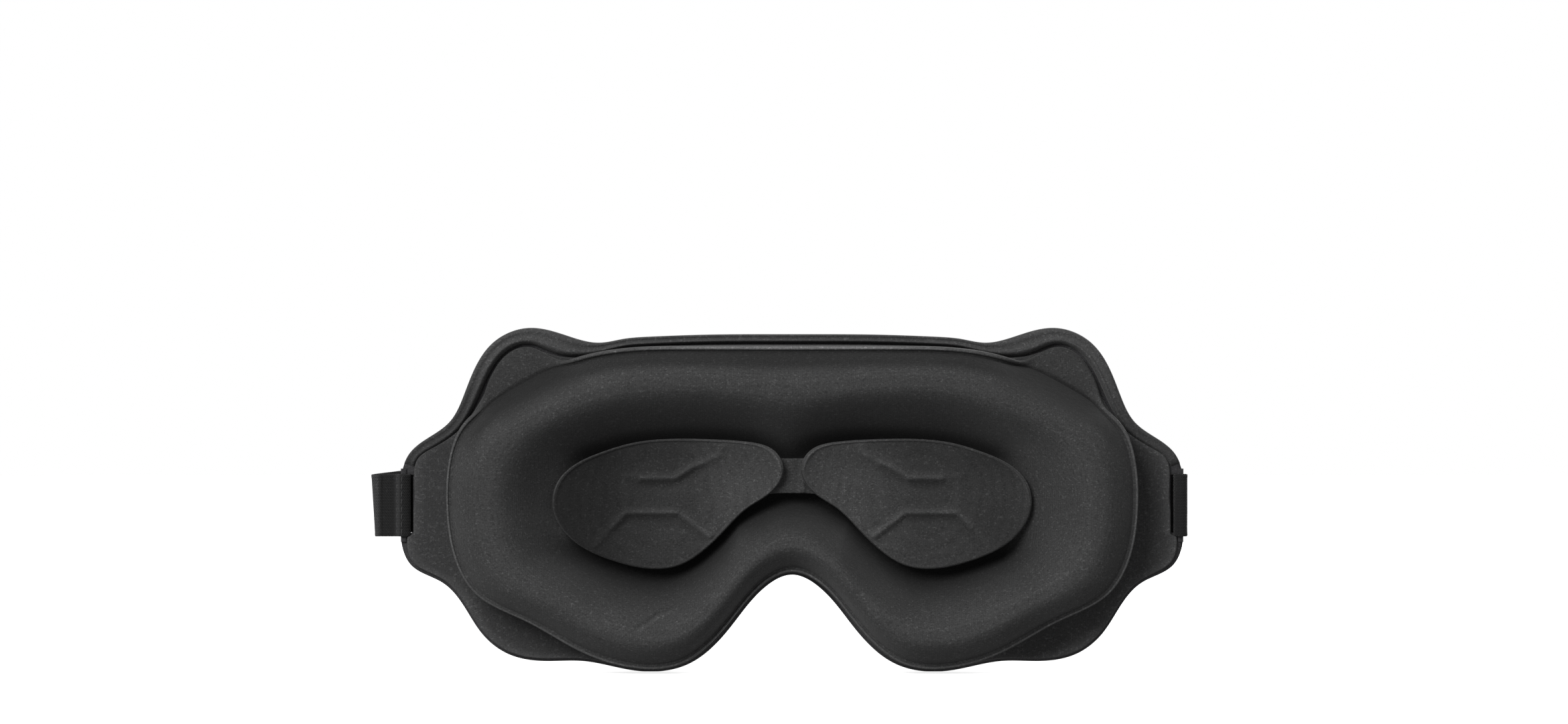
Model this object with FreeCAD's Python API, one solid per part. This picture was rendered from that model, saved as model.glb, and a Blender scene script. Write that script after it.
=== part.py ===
import FreeCAD, Part
import math
import os

# Contoured sleep eye mask with a raised face cushion, two eye plates and a two-part elastic strap.
# All sizes are in millimetres. +X is the wearer's left, +Y points at the wearer's face, +Z is up.
# The origin lies on the plane of the cushion's crest, midway between the eyes and level with the strap.

# Depths along Y, from the face outwards.
CREST_Y = 0.0
LINING_FACE_Y = -22.0
LINING_BACK_Y = -23.4
SHELL_FLAT_Y = -26.0
DOME_RISE = 10.0
SHELL_WALL = 2.0
RIM_TOP_Y = -20.3
EAR_PANEL_Y = -20.9

# Half outline of the mask, from the top centre over the ear, wing tip and lower lobe to the nose arch.
# Each row is x, z, width of the rolled rim there, and how far inside the edge the lining stops.
OUTLINE = [
    (0.0, 54.0, 2.4, 2.8),
    (32.0, 53.0, 2.4, 2.8),
    (58.0, 51.4, 2.6, 3.0),
    (71.0, 53.6, 4.2, 5.2),
    (84.2, 56.3, 4.8, 6.2),
    (95.5, 52.1, 4.8, 6.2),
    (101.7, 43.3, 4.8, 6.2),
    (105.2, 34.6, 4.6, 5.8),
    (109.5, 26.7, 4.0, 4.8),
    (116.5, 21.5, 4.0, 4.6),
    (122.2, 16.8, 3.6, 4.0),
    (125.0, 10.0, 2.0, 2.4),
    (125.2, -1.0, 0.8, 0.8),
    (125.0, -12.5, 0.8, 0.8),
    (122.0, -19.2, 0.8, 0.8),
    (112.0, -24.8, 0.8, 0.8),
    (104.3, -33.6, 0.8, 0.8),
    (99.0, -41.5, 0.8, 0.8),
    (91.0, -47.6, 0.8, 0.8),
    (79.0, -49.9, 0.8, 0.8),
    (67.0, -49.9, 0.8, 0.8),
    (50.1, -53.0, 0.8, 0.8),
    (33.5, -51.0, 0.8, 0.8),
    (19.5, -38.8, 0.8, 0.8),
    (9.5, -27.0, 0.8, 0.8),
    (0.0, -22.3, 0.8, 0.8),
]
RIM_END_Z = 12.6

# Half boundary of the face cushion on the lining, paired point by point with the mouth of the eye cavity.
CUSHION_OUTER = [
    (0.0, 50.8),
    (18.0, 50.7),
    (36.0, 50.2),
    (53.0, 48.9),
    (69.3, 46.0),
    (84.0, 40.0),
    (96.0, 33.2),
    (105.6, 24.9),
    (110.0, 11.9),
    (110.4, -0.4),
    (108.7, -13.5),
    (101.0, -28.2),
    (85.0, -37.0),
    (68.0, -46.4),
    (50.5, -51.9),
    (35.0, -50.6),
    (25.6, -44.0),
    (17.8, -35.0),
    (9.4, -25.6),
    (0.0, -21.4),
]
CUSHION_INNER = [
    (0.0, 17.5),
    (9.0, 20.6),
    (22.0, 23.2),
    (36.0, 23.6),
    (50.0, 22.0),
    (61.0, 19.0),
    (69.5, 15.2),
    (75.5, 10.6),
    (78.6, 5.0),
    (79.2, -1.0),
    (77.2, -7.5),
    (72.0, -14.0),
    (64.0, -19.8),
    (55.0, -24.2),
    (46.0, -26.4),
    (37.5, -25.4),
    (29.5, -20.8),
    (21.0, -12.6),
    (11.5, -3.4),
    (0.0, 1.5),
]
CREST_START = 0.38
CREST_END = 0.48
COVER_WALL = 1.3
COVER_SHARE = 0.05

# Half boundary of the outer dome. It follows the cushion's boundary but runs on to the wing tips.
DOME_EDGE = [
    (0.0, 50.4),
    (18.0, 50.2),
    (36.0, 49.8),
    (53.0, 48.4),
    (69.3, 45.6),
    (84.0, 39.6),
    (102.0, 26.6),
    (113.0, 17.6),
    (117.6, 9.0),
    (118.2, -0.4),
    (117.0, -10.5),
    (108.5, -21.2),
    (90.0, -33.2),
    (68.0, -45.2),
    (50.5, -50.9),
    (35.0, -49.4),
    (25.6, -42.6),
    (17.8, -33.6),
    (9.4, -24.6),
    (0.0, -20.6),
]
DOME_CENTRE = (0.0, 14.0)
DOME_CROWN = 0.34

# Boundary of the flat flange that the cushion's cover carries in each ear, inside the rolled rim.
EAR_PANEL = [
    (66.5, 45.0),
    (71.0, 47.0),
    (77.0, 48.8),
    (84.0, 49.8),
    (90.2, 47.2),
    (94.8, 41.6),
    (98.2, 35.2),
    (100.4, 29.6),
    (92.0, 33.0),
    (78.0, 40.0),
]

# Eye plates: a shallow dish cut to a teardrop outline, with low ribs over its face.
PLATE_OUTLINE = [
    (76.0, -1.0),
    (74.8, 7.4),
    (69.0, 13.3),
    (61.0, 17.0),
    (51.0, 20.0),
    (39.0, 21.3),
    (26.0, 21.2),
    (14.0, 20.4),
    (5.4, 17.4),
    (2.7, 11.6),
    (6.4, 4.6),
    (14.0, -0.6),
    (21.6, -8.0),
    (29.1, -15.0),
    (36.0, -19.0),
    (44.5, -20.1),
    (57.3, -17.4),
    (70.6, -10.2),
]
PLATE_CENTRE = (41.0, 2.0)
PLATE_FACE_Y = -17.2
PLATE_DISH_R = 228.0
PLATE_WALL = 1.5
RIB_RISE = 0.45
RIB_WIDTH = 1.4
RIB_LINES = [
    ((37.0, 9.0), (53.0, 9.0)),
    ((37.0, -1.6), (53.0, -1.6)),
    ((37.0, 9.0), (37.0, -1.6)),
    ((53.0, 9.0), (53.0, -1.6)),
    ((37.0, 9.0), (24.0, 20.0)),
    ((37.0, -1.6), (25.5, -10.6)),
    ((53.0, 9.0), (70.0, 11.6)),
    ((53.0, -1.6), (65.0, -12.6)),
]
PAD_SHARE = 0.66

# Strip that joins the two plates over the nose.
BRIDGE_HALF = 8.2
BRIDGE_LOW_Z = 4.1
BRIDGE_HIGH_Z = 15.1
BRIDGE_FACE_Y = -16.36
BRIDGE_WALL = 1.2

# Wing slots, and the bar between each slot and the wing tip.
SLOT_X = 121.3
SLOT_HALF = 10.5
BAR_X = 124.2
BAR_Y = -23.7
BAR_SIZE = 2.0
BAR_EDGE_R = 0.6

# Elastic strap.
STRAP_WIDTH = 20.0
STRAP_T = 0.9
LOOP_R = 1.3
FOLD_CLEAR = 0.05
HANK_SLOPE = 11.0
LEFT_TAIL_X = 129.5
LEFT_FOLD_X = 132.2
LEFT_FOLD_GAP = 2.0
LEFT_SLANT = 3.4
LEFT_RUN = 52.0
LEFT_RUN_GAP = 0.9
RIGHT_TAIL = 12.0
RIGHT_RUN = 56.0
RIGHT_RUN_GAP = 1.4
RIGHT_DROP = 2.7
HOOK_PATCH = (42.0, 18.4, 1.1)
LOOP_PATCH = (42.0, 18.4, 1.1)
PATCH_INSET = 3.0
PATCH_BASE = 0.5
PATCH_BORDER = 2.0
STITCH = (0.45, 0.25, 1.6)
STITCH_PITCH = 2.5


def vec(x, y, z):
    return FreeCAD.Vector(x, y, z)


def both_halves(half):
    """The whole closed outline, given its half from the top centre to the bottom centre."""
    mirrored = [(-x, z) for x, z in reversed(half[1:-1])]
    return list(half) + mirrored


def spline(points, y):
    curve = Part.BSplineCurve()
    curve.interpolate(Points=[vec(x, y, z) for x, z in points], PeriodicFlag=True)
    return curve


def wire(points, y):
    return Part.Wire([spline(points, y).toShape()])


def slab(points, y_from, y_to):
    """A flat plate of the given outline between two depths."""
    return Part.Face(wire(points, y_from)).extrude(vec(0, y_to - y_from, 0))


def block(x, y, z):
    """A box given by its low and high limits on each axis."""
    size = [high - low for low, high in (x, y, z)]
    return Part.makeBox(*size, vec(x[0], y[0], z[0]))


def between(outer, inner, share):
    """Points a given share of the way from one outline to another."""
    return [
        (a + (c - a) * share, b + (d - b) * share)
        for (a, b), (c, d) in zip(outer, inner)
    ]


def inset(points, distances):
    """The outline moved inwards at each point by that point's own distance."""
    curve = spline(points, 0.0)
    moved = []
    for (x, z), distance in zip(points, distances):
        along = curve.tangent(curve.parameter(vec(x, 0, z)))[0]
        moved.append((x - along.z * -distance, z + along.x * -distance))
    return moved


def loft(sections):
    return Part.makeLoft([wire(points, y) for points, y in sections], True, False)


def mirror(shape):
    return shape.mirror(vec(0, 0, 0), vec(1, 0, 0))


def outline_column(column):
    values = [row[column] for row in OUTLINE]
    return values + values[-2:0:-1]


def quarter(share):
    """Height of a quarter ellipse, from 0 at its foot to 1 at its top."""
    return math.sqrt(max(0.0, 1.0 - (1.0 - share) ** 2))


def cushion_ring(outer_share, inner_share, crest_y):
    """The ring of the face cushion: domed outside, hollow inside, resting on the lining."""
    outer = both_halves(CUSHION_OUTER)
    inner = both_halves(CUSHION_INNER)
    height = crest_y - LINING_FACE_Y
    steps = [0.0, 0.03, 0.12, 0.3, 0.6, 1.0]
    rising = []
    falling = []
    for step in steps:
        y = LINING_FACE_Y + height * quarter(step)
        share = outer_share + (CREST_START - outer_share) * step
        rising.append((between(outer, inner, share), y))
        share = inner_share - (inner_share - CREST_END) * step
        falling.append((between(outer, inner, share), y))
    return loft(rising).cut(loft(falling)), loft(rising)


def plate_ball(radius):
    x, z = PLATE_CENTRE
    return Part.makeSphere(radius, vec(x, PLATE_FACE_Y + PLATE_DISH_R, z))


def plate_ribs():
    """Low ribs over one plate's dished face."""
    bars = []
    for (x1, z1), (x2, z2) in RIB_LINES:
        length = math.hypot(x2 - x1, z2 - z1)
        bar = block((0.0, length), (-22.0, -12.0), (-RIB_WIDTH / 2, RIB_WIDTH / 2))
        bar.rotate(vec(0, 0, 0), vec(0, 1, 0), -math.degrees(math.atan2(z2 - z1, x2 - x1)))
        bar.translate(vec(x1, 0, z1))
        bars.append(bar)
    ribs = bars[0].multiFuse(bars[1:]).common(slab(PLATE_OUTLINE, -20.0, -10.0))
    return ribs.common(plate_ball(PLATE_DISH_R + PLATE_WALL / 2)).cut(plate_ball(PLATE_DISH_R - RIB_RISE))


def eye_plate():
    blank = slab(PLATE_OUTLINE, -20.0, -10.0)
    dish = blank.common(plate_ball(PLATE_DISH_R + PLATE_WALL)).cut(plate_ball(PLATE_DISH_R))
    return dish.fuse(plate_ribs()).removeSplitter()


def plate_pad():
    centre = [PLATE_CENTRE] * len(PLATE_OUTLINE)
    outline = between(PLATE_OUTLINE, centre, 1.0 - PAD_SHARE)
    return slab(outline, LINING_FACE_Y, -12.0).cut(plate_ball(PLATE_DISH_R + PLATE_WALL))


def slot_space(side):
    low, high = sorted((side * SLOT_X, side * (SLOT_X + 10.0)))
    return block((low, high), (-30.0, -15.0), (-SLOT_HALF, SLOT_HALF))


def slot_bar(side):
    half = BAR_SIZE / 2
    reach = SLOT_HALF + 1.0
    bar = block((-half, half), (-half, half), (-reach, reach))
    long_edges = [e for e in bar.Edges if abs(e.tangentAt(0).z) > 0.9]
    bar = bar.makeFillet(BAR_EDGE_R, long_edges)
    bar.translate(vec(side * BAR_X, BAR_Y, 0))
    return bar


def strap_slab(x, y, width=STRAP_WIDTH):
    return block(x, y, (-width / 2, width / 2))


def stitch_row(x, y, reach, along_x=False):
    """A row of short stitches on a strap's face, centred on z = 0 or running along x."""
    thick, proud, length = STITCH
    count = int(reach // STITCH_PITCH)
    start = -(count - 1) * STITCH_PITCH / 2
    row = []
    for number in range(count):
        offset = start + number * STITCH_PITCH
        size = (length, proud, thick) if along_x else (thick, proud, length)
        place = (x[0] + offset, y, x[1]) if along_x else (x, y, offset)
        corner = [p - s / 2 for p, s in zip(place, size)]
        row.append(Part.makeBox(*size, vec(*corner)))
    return row


def fastener_patch(start, back, patch):
    """A patch whose hooks or pile stand up inside a thinner border, where it is sewn down."""
    length, width, thick = patch
    base = strap_slab((start, start + length), (back - PATCH_BASE, back), width)
    field = (start + PATCH_BORDER, start + length - PATCH_BORDER)
    return base.fuse(strap_slab(field, (back - thick, back), width - 2 * PATCH_BORDER))


def patch_stitches(x, y, patch):
    """Stitches along the two long sides and two ends of a sewn patch."""
    length, width, _ = patch
    long_row = length - 2.0
    short_row = width - 3.0
    edge = width / 2 - 1.2
    end = length / 2 - 1.0
    rows = stitch_row((x, edge), y, long_row, True) + stitch_row((x, -edge), y, long_row, True)
    rows += stitch_row(x - end, y, short_row) + stitch_row(x + end, y, short_row)
    return Part.makeCompound(rows)


def sleeve():
    """The strap's turn around the slot bar, centred on the bar."""
    reach = STRAP_WIDTH / 2
    turn = Part.makeCylinder(LOOP_R + STRAP_T, STRAP_WIDTH, vec(0, 0, -reach), vec(0, 0, 1))
    return turn


def sleeve_bore():
    reach = STRAP_WIDTH / 2 + 1.0
    return Part.makeCylinder(LOOP_R, 2 * reach, vec(0, 0, -reach), vec(0, 0, 1))


def left_hank(shape):
    """Moves a shape from the folded strap's own frame, whose origin is the first fold, to the mask."""
    slant = math.radians(LEFT_SLANT)
    fold_line = vec(math.sin(slant), 0, math.cos(slant))
    shape.rotate(vec(0, 0, 0), vec(0, 1, 0), 2 * LEFT_SLANT)
    shape.rotate(vec(0, 0, 0), fold_line, HANK_SLOPE)
    shape.translate(vec(LEFT_FOLD_X, BAR_Y - LEFT_FOLD_GAP / 2, 0))
    return shape


def right_hank(shape):
    """Moves a shape from the turned-back strap's own frame, whose origin is the bar, to the mask."""
    shape.rotate(vec(0, 0, 0), vec(0, 0, 1), -HANK_SLOPE)
    shape.translate(vec(-BAR_X, BAR_Y, 0))
    return shape


def beyond_fold(turn):
    """The space past the slanted first fold of the left strap, turned about Y."""
    space = block((0.0, 40.0), (-20.0, 20.0), (-40.0, 40.0))
    space.rotate(vec(0, 0, 0), vec(0, 1, 0), turn)
    return space


def build_shell(parts):
    edge = both_halves([row[:2] for row in OUTLINE])
    rim_edge = inset(edge, outline_column(2))
    lining_edge = inset(edge, outline_column(3))
    slots = slot_space(1).fuse(slot_space(-1))
    bars = slot_bar(1).fuse(slot_bar(-1))

    dome_edge = both_halves(DOME_EDGE)
    crown = between(dome_edge, [DOME_CENTRE] * len(dome_edge), 1.0 - DOME_CROWN)
    dome = []
    core = []
    for share in (0.0, 0.1, 0.25, 0.45, 0.7, 1.0):
        rise = DOME_RISE * (1.0 - (1.0 - share) ** 2)
        dome.append((between(dome_edge, crown, share), SHELL_FLAT_Y - rise))
        core_share = 0.06 + 0.94 * share
        rise = DOME_RISE * (1.0 - (1.0 - core_share) ** 2)
        core.append((between(dome_edge, crown, core_share), SHELL_FLAT_Y - rise + SHELL_WALL))
    core_seat = slab(core[0][0], LINING_BACK_Y, core[0][1])
    parts["blackout_core"] = loft(core).fuse(core_seat)

    shell = slab(edge, LINING_BACK_Y, SHELL_FLAT_Y).fuse(loft(dome))
    shell = shell.cut(slots).fuse(bars)
    parts["outer_cover"] = shell.cut(parts["blackout_core"])

    rim_inner = inset(edge, outline_column(2))
    rising = []
    falling = []
    for step, y in ((0.0, LINING_BACK_Y), (0.04, -21.6), (0.16, -20.8), (0.36, RIM_TOP_Y)):
        rising.append((between(edge, rim_inner, step), y))
        falling.append((between(rim_inner, edge, step), y))
    rim = loft(rising).cut(loft(falling))
    upper = block((-140.0, 140.0), (-30.0, -10.0), (RIM_END_Z, 70.0))
    parts["rolled_rim"] = rim.common(upper)

    lining = slab(lining_edge, LINING_BACK_Y, LINING_FACE_Y)
    parts["inner_lining"] = lining.cut(slots).cut(bars)


def build_cushion(parts):
    whole, mound = cushion_ring(0.0, 1.0, CREST_Y)
    core, _ = cushion_ring(COVER_SHARE, 1.0 - COVER_SHARE, CREST_Y - COVER_WALL)
    flange = slab(EAR_PANEL, LINING_FACE_Y, EAR_PANEL_Y).cut(mound)
    parts["cushion_core"] = core
    parts["cushion_cover"] = whole.cut(core)
    parts["ear_flange_left"] = flange
    parts["ear_flange_right"] = mirror(flange)


def build_plates(parts):
    plate = eye_plate()
    pad = plate_pad()
    parts["eye_plate_left"] = plate
    parts["eye_plate_right"] = mirror(plate)
    parts["plate_pad_left"] = pad
    parts["plate_pad_right"] = mirror(pad)
    parts["bridge_strip"] = block(
        (-BRIDGE_HALF, BRIDGE_HALF),
        (BRIDGE_FACE_Y - BRIDGE_WALL, BRIDGE_FACE_Y),
        (BRIDGE_LOW_Z, BRIDGE_HIGH_Z),
    )


def build_left_strap(parts):
    tail = strap_slab((0.0, LEFT_TAIL_X - BAR_X), (-STRAP_T, STRAP_T))
    stub = strap_slab((0.0, LEFT_FOLD_X - BAR_X + 1.0), (0.0, STRAP_T))
    past = beyond_fold(LEFT_SLANT)
    past.translate(vec(LEFT_FOLD_X - BAR_X - FOLD_CLEAR, 0, 0))
    loop = sleeve().fuse([tail, stub]).cut(sleeve_bore()).cut(past)
    loop.translate(vec(BAR_X, BAR_Y, 0))
    parts["strap_left_loop"] = loop

    face = BAR_Y + STRAP_T + STITCH[1] / 2
    rows = stitch_row(BAR_X + 2.9, face, STRAP_WIDTH - 1.0)
    rows += stitch_row(BAR_X + 4.4, face, STRAP_WIDTH - 1.0)
    parts["strap_left_seam"] = Part.makeCompound(rows)

    top = -LEFT_FOLD_GAP / 2
    step = STRAP_T + LEFT_RUN_GAP
    first = strap_slab((-LEFT_RUN + FOLD_CLEAR, 2.0), (top - STRAP_T, top))
    past = beyond_fold(-LEFT_SLANT)
    past.translate(vec(-FOLD_CLEAR, 0, 0))
    parts["strap_left_run_1"] = left_hank(first.cut(past))
    span = (-LEFT_RUN + FOLD_CLEAR, -1.0 - FOLD_CLEAR)
    parts["strap_left_run_2"] = left_hank(strap_slab(span, (top - step - STRAP_T, top - step)))
    span = (-LEFT_RUN + PATCH_INSET, -1.0 - FOLD_CLEAR)
    last = top - 2 * step
    parts["strap_left_run_3"] = left_hank(strap_slab(span, (last - STRAP_T, last)))

    back = last - STRAP_T
    start = -LEFT_RUN + PATCH_INSET + 1.0
    parts["hook_patch"] = left_hank(fastener_patch(start, back, HOOK_PATCH))
    border = back - PATCH_BASE - STITCH[1] / 2
    stitches = patch_stitches(start + HOOK_PATCH[0] / 2, border, HOOK_PATCH)
    parts["hook_patch_stitches"] = left_hank(stitches)


def build_right_strap(parts):
    tail = strap_slab((-0.4, RIGHT_TAIL), (-RIGHT_DROP - 2 * STRAP_T, -RIGHT_DROP))
    neck = strap_slab((-0.4, 1.0), (-RIGHT_DROP - STRAP_T / 2, -LOOP_R))
    loop = sleeve().fuse([tail, neck]).cut(sleeve_bore())
    parts["strap_right_loop"] = right_hank(loop)

    face = -RIGHT_DROP - 2 * STRAP_T - STITCH[1] / 2
    rows = stitch_row(5.0, face, STRAP_WIDTH - 1.0)
    rows += stitch_row(8.0, face, STRAP_WIDTH - 1.0)
    parts["strap_right_seam"] = right_hank(Part.makeCompound(rows))

    first = (-RIGHT_DROP - STRAP_T, -RIGHT_DROP)
    second = -RIGHT_DROP - STRAP_T - RIGHT_RUN_GAP
    span = (RIGHT_TAIL, RIGHT_RUN - FOLD_CLEAR)
    parts["strap_right_run_1"] = right_hank(strap_slab(span, first))
    span = (PATCH_INSET, RIGHT_RUN - FOLD_CLEAR)
    parts["strap_right_run_2"] = right_hank(strap_slab(span, (second - STRAP_T, second)))

    back = second - STRAP_T
    start = PATCH_INSET + 1.0
    parts["loop_patch"] = right_hank(fastener_patch(start, back, LOOP_PATCH))
    border = back - PATCH_BASE - STITCH[1] / 2
    stitches = patch_stitches(start + LOOP_PATCH[0] / 2, border, LOOP_PATCH)
    parts["loop_patch_stitches"] = right_hank(stitches)


parts = {}
build_shell(parts)
build_cushion(parts)
build_plates(parts)
build_left_strap(parts)
build_right_strap(parts)

os.makedirs("parts", exist_ok=True)
for name, shape in parts.items():
    print(name, len(shape.Solids), round(shape.Volume, 1), shape.isValid())
    shape.exportStep(os.path.join("parts", name + ".step"))
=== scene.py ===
import math

import bmesh
import bpy
import numpy as np
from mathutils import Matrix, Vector, noise


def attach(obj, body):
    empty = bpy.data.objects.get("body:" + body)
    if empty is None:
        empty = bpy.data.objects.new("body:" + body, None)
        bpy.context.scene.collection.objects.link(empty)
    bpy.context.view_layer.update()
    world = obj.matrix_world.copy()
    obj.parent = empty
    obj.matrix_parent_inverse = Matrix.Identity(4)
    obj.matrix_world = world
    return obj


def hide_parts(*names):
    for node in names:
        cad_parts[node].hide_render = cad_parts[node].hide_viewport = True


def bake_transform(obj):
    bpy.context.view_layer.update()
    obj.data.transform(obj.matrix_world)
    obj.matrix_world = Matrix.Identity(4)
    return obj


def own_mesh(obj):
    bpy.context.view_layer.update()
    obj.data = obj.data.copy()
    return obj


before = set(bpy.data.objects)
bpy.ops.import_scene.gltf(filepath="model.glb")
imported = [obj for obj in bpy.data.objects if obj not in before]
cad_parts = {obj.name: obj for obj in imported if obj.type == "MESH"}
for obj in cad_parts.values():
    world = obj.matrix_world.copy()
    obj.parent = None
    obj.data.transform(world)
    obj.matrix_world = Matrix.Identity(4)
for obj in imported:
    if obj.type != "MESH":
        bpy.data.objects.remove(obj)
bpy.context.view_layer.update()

# Sizes are in millimetres, as in the CAD source, and meshes are scaled to metres when they are made.
# +X is the wearer's left, +Y points at the wearer's face, +Z is up.
MM = 0.001

LINING_FACE_Y = -22.0
LINING_BACK_Y = -23.4
SHELL_FLAT_Y = -26.0
DOME_RISE = 10.0
DOME_SHOULDER = 0.7
DOME_CROWN = 0.34
CENTRE = np.array([0.0, 14.0])

# Half outline from the top centre to the nose arch: x, z, rolled rim's width, lining's inset.
OUTLINE = [
    (0.0, 54.7, 2.7, 3.3),
    (30.0, 54.5, 2.7, 3.3),
    (46.0, 53.9, 2.7, 3.3),
    (54.0, 53.2, 2.7, 3.3),
    (61.5, 52.0, 3.3, 3.8),
    (71.0, 53.9, 6.3, 6.9),
    (84.2, 56.7, 5.1, 6.6),
    (95.5, 52.1, 4.8, 6.6),
    (101.7, 43.3, 4.8, 6.6),
    (105.2, 34.6, 4.4, 5.4),
    (109.5, 26.7, 3.8, 3.9),
    (116.5, 21.5, 3.6, 3.5),
    (122.2, 16.8, 3.2, 3.1),
    (125.0, 10.0, 3.6, 4.2),
    (125.2, -1.0, 3.6, 4.2),
    (125.0, -12.5, 3.6, 1.9),
    (122.0, -19.2, 3.4, 1.3),
    (112.0, -24.8, 2.4, 1.1),
    (104.3, -33.6, 0.9, 0.9),
    (99.0, -41.5, 0.9, 0.9),
    (91.0, -47.6, 0.9, 0.9),
    (79.0, -49.9, 0.9, 0.9),
    (67.0, -49.9, 0.9, 0.9),
    (50.1, -53.0, 0.9, 0.9),
    (33.5, -51.0, 0.9, 0.9),
    (19.5, -38.8, 0.9, 0.9),
    (9.5, -27.0, 0.9, 0.9),
    (0.0, -22.3, 0.9, 0.9),
]
# The cushion's boundary on the lining, paired with the mouth of the eye cavities and with the
# foot of the inner slope, which lies under the plates.
CUSHION_OUTER = [
    (0.0, 50.8), (18.0, 50.8), (36.0, 50.7), (53.0, 50.0), (69.3, 46.8),
    (84.0, 40.3), (96.0, 33.2), (105.6, 24.9), (110.0, 11.9), (110.4, -0.4),
    (108.7, -13.5), (101.0, -28.2), (85.0, -37.0), (68.0, -46.4), (50.5, -51.9),
    (35.0, -50.6), (25.6, -44.0), (17.8, -35.0), (9.4, -25.6), (0.0, -21.4),
]
CUSHION_INNER = [
    (0.0, 17.5), (9.0, 20.6), (22.0, 23.2), (36.0, 23.6), (50.0, 22.0),
    (61.0, 19.0), (69.5, 15.2), (75.5, 10.6), (78.6, 5.0), (79.2, -1.0),
    (77.2, -7.5), (72.0, -14.0), (64.0, -19.8), (55.0, -24.2), (46.0, -26.4),
    (37.5, -25.4), (29.5, -20.8), (21.0, -12.6), (11.5, -3.4), (0.0, 1.5),
]
CUSHION_FOOT = [
    (0.0, 13.6), (8.0, 16.8), (21.5, 19.4), (35.5, 19.6), (49.3, 18.4),
    (59.5, 15.6), (66.6, 12.4), (71.3, 8.2), (73.4, 4.0), (73.8, -1.0),
    (72.2, -6.0), (67.6, -10.4), (60.5, -13.9), (52.5, -16.6), (44.6, -18.2),
    (37.2, -17.2), (30.2, -13.2), (22.8, -6.6), (13.0, 1.8), (0.0, 5.6),
]
CREST_SHARE = 0.42
CUSHION_BEAD_Y = -9.0
BEAD_DROP = 8.0
WALL_INSET = 0.7
# How far the inner slope falls from the crest, in general and at the cavities' outer tips.
CAVITY_FALL = 21.8
TIP_FALL = 15.8
# The cover's flat part in each ear: its level, its rounded edge and the groove beside the rim.
EAR_Y = -20.35
EAR_ROUND = 0.7
EAR_GROOVE = 0.95
# Start, end and depth.
CREASES = [((51.0, -40.6), (36.5, -29.6), 0.85), ((-41.0, -30.5), (-45.5, -36.0), 0.5)]
DOME_EDGE = [
    (0.0, 50.4), (18.0, 50.2), (36.0, 49.8), (53.0, 48.4), (69.3, 45.6),
    (84.0, 39.6), (102.0, 26.6), (113.0, 17.6), (117.6, 9.0), (118.2, -0.4),
    (117.0, -10.5), (108.5, -21.2), (90.0, -33.2), (68.0, -45.2), (50.5, -50.9),
    (35.0, -49.4), (25.6, -42.6), (17.8, -33.6), (9.4, -24.6), (0.0, -20.6),
]
PLATE_OUTLINE = [
    (76.0, -1.0), (74.8, 7.4), (69.0, 13.3), (61.0, 17.0), (51.0, 20.0), (39.0, 21.3),
    (26.0, 21.2), (14.0, 20.4), (5.4, 17.4), (2.7, 11.6), (6.4, 4.6), (14.0, -0.6),
    (21.6, -8.0), (29.1, -15.0), (36.0, -19.0), (44.5, -20.1), (57.3, -17.4), (70.6, -10.2),
]
PLATE_CENTRE = np.array([41.0, 2.0])
PLATE_FACE_Y = -17.2
PLATE_DISH_R = 140.0
PLATE_WALL = 1.5
BRIDGE_HALF = 8.4
BRIDGE_Y = -15.7
# Painted shade on the plates: darker towards their outer ends than towards the nose, most of all on the left
# plate, which the ring shadows in light from the left.
PLATE_SHADE_X = (8, 20, 30, 40, 50, 60, 70, 76)
PLATE_SHADE = {
    1: (1.2, 1.15, 0.80, 0.65, 0.55, 0.34, 0.27, 0.32),
    -1: (1.2, 1.3, 1.0, 0.76, 0.74, 0.62, 0.6, 0.7),
}
# Raised ribs of the left plate, mirrored on the right one: start, end and height.
RIB_LINES = [
    ((37.2, 9.0), (47.8, 8.9), 1.0), ((47.8, 8.9), (53.0, 9.5), 0.3),
    ((36.4, -2.0), (52.8, -2.1), 1.0), ((52.8, -2.1), (57.2, -6.6), 0.8),
    ((57.2, -6.6), (63.0, -13.0), 0.35),
    ((37.2, 9.0), (36.4, -2.0), 0.2), ((53.0, 9.5), (52.8, -2.1), 0.2),
    ((37.2, 9.0), (31.5, 12.6), 1.0), ((31.5, 12.6), (28.5, 13.8), 0.8),
    ((28.5, 13.8), (23.2, 16.4), 0.5), ((23.2, 16.4), (21.5, 20.0), 0.4),
    ((35.4, -2.6), (25.6, -10.0), 0.9),
]
# The wing slots: inner edge, half height, and the half height cut out of the fabric.
SLOT_X = 121.3
SLOT_HALF = 10.5
SLOT_SHOWN = 9.75
BAR_X = 124.2
BAR_Y = -23.7
STRAP_T = 0.9
STRAP_HALF = 10.0
SELVAGE = 0.28
LOOP_R = 1.75
FOLD_LEAD = 1.2
THREAD_R = 0.17
FOLD_X = 132.2
FOLD_GAP = 2.0
SLANT = math.radians(3.4)
SLOPE = math.radians(11.0)
LEFT_RUN = 52.0
LEFT_RUN_GAP = 0.9
RIGHT_RUN = 56.0
RIGHT_RUN_GAP = 1.4
RIGHT_DROP = 2.7
SEAM_START = -8.4
SEAM_PITCH = 2.4
SEAM_STITCHES = 8
PATCH_LENGTH = 42.0
PATCH_WIDTH = 18.4
PATCH_THICK = 1.1
PATCH_BORDER = 0.62
PATCH_PITCH = 2.2
PATCH_STITCH = 1.7


# ---------------------------------------------------------------- curves

def whole(half):
    """The closed outline of a half that runs from the top centre to the bottom centre."""
    half = [tuple(p[:2]) for p in half]
    return np.array(half + [(-x, z) for x, z in reversed(half[1:-1])], float)


def whole_column(rows, column):
    values = [row[column] for row in rows]
    return np.array(values + values[-2:0:-1], float)


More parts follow.
